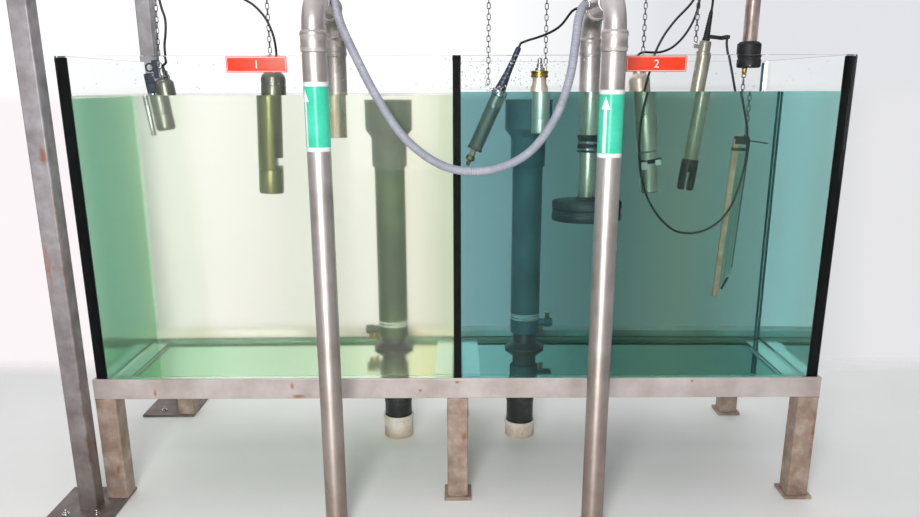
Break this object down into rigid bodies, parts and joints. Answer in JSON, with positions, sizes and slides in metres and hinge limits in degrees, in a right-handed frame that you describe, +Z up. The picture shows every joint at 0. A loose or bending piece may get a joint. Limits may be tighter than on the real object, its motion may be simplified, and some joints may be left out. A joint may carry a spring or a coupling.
{
  "type": "twin glass inspection tank",
  "caption": "Two-compartment glass inspection tank on a square tube stand, with steel risers and drop pipes, overflow standpipes, and probes on chains from a gantry.",
  "frame": {"origin": "centre of the base's bounding rectangle, on the floor", "axes": "+X to the right along the tank, +Y from the front pane to the back pane, +Z up"},
  "size_m": [2.82, 1.217, 2.15],
  "materials": {
    "stand_steel": "dull square tube with rust at the welds",
    "gantry_steel": "dull square tube with scratches",
    "tank_glass": "clear laminated glass",
    "silicone": "matte black sealing",
    "sign_red": "engraving sheet with a white border",
    "pipe_steel": "stainless pipe, brushed lengthwise",
    "black_rubber": "matte",
    "dark_plastic": "dark grey pipe plastic",
    "white_plastic": "stained white pipe socket",
    "probe_steel": "stainless with a film of deposits",
    "bar_plastic": "aged beige",
    "chain_steel": "bright links",
    "cable_black": "matte black jacket",
    "hose_grey": "ribbed spiral hose"
  },
  "bodies": {
    "root": {"beam_front": "stand_steel", "beam_back": "stand_steel", "beam_left": "stand_steel", "beam_right": "stand_steel", "beam_middle": "stand_steel", "leg_front_left": "stand_steel", "leg_back_left": "stand_steel", "leg_front_middle": "stand_steel", "leg_back_middle": "stand_steel", "leg_front_right": "stand_steel", "leg_back_right": "stand_steel", "gantry_post_front": "gantry_steel", "gantry_post_back": "gantry_steel", "gantry_rail_front": "gantry_steel", "gantry_rail_back": "gantry_steel", "gantry_rail_left": "gantry_steel", "hanging_rail": "gantry_steel", "glass_front": "tank_glass", "glass_back": "tank_glass", "glass_left": "tank_glass", "glass_right": "tank_glass", "glass_partition": "tank_glass", "glass_floor": "tank_glass", "seal_front": "silicone", "seal_back": "silicone", "sign_left": "sign_red", "sign_right": "sign_red", "riser_left": "pipe_steel", "riser_right": "pipe_steel", "crossover_left": "pipe_steel", "crossover_right": "pipe_steel", "drop_coupling": "black_rubber", "diffuser": "dark_plastic", "standpipe_left": "dark_plastic", "standpipe_right": "dark_plastic", "tank_fitting_left": "dark_plastic", "tank_fitting_right": "dark_plastic", "floor_socket_left": "white_plastic", "floor_socket_right": "white_plastic", "probe_1": "probe_steel", "probe_2": "probe_steel", "probe_3": "probe_steel", "probe_4": "probe_steel", "probe_5": "probe_steel", "probe_6": "probe_steel", "probe_7": "bar_plastic", "probe_pole": "pipe_steel", "chain_1": "chain_steel", "chain_2": "chain_steel", "chain_3": "chain_steel", "chain_4": "chain_steel", "chain_5": "chain_steel", "chain_6": "chain_steel", "chain_7": "chain_steel", "hose": "hose_grey", "cable_1": "cable_black", "cable_2": "cable_black", "cable_3": "cable_black", "cable_5": "cable_black", "cable_loop": "cable_black"}
  },
  "joints": []
}
